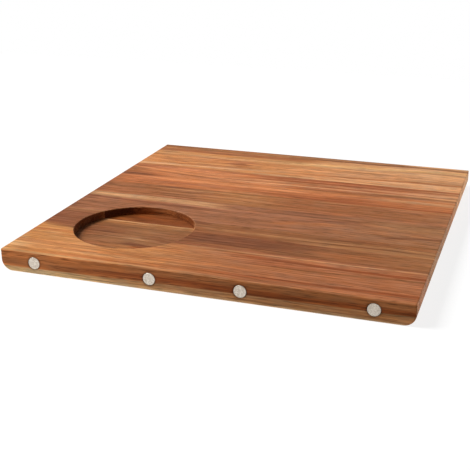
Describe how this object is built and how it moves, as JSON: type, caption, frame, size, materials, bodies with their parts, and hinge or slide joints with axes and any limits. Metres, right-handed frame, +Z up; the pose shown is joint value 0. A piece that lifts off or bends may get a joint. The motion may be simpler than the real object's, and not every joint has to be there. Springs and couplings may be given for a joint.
{
  "type": "cutting board",
  "caption": "Flat edge-glued acacia cutting board with a round blind recess near one front corner and disc magnets let into the front face, two at each half.",
  "frame": {"origin": "middle of the underside, on the surface that the board lies on", "axes": "+X along the staves from left to right, +Y from the front face to the back, +Z up out of the top"},
  "size_m": [0.4, 0.408, 0.022],
  "materials": {
    "acacia_honey": "planed, sanded and oiled, satin",
    "acacia_umber": "planed, sanded and oiled, satin",
    "acacia_walnut": "planed, sanded and oiled, satin",
    "acacia_russet": "planed, sanded and oiled, satin",
    "nickel": "bright nickel plating, lightly tumbled"
  },
  "bodies": {
    "root": {"stave_1": "acacia_honey", "stave_2": "acacia_umber", "stave_3": "acacia_walnut", "stave_4": "acacia_walnut", "stave_5": "acacia_russet", "stave_6": "acacia_russet", "stave_7": "acacia_honey", "stave_8": "acacia_honey", "magnet_1": "nickel", "magnet_2": "nickel", "magnet_3": "nickel", "magnet_4": "nickel"}
  },
  "joints": []
}
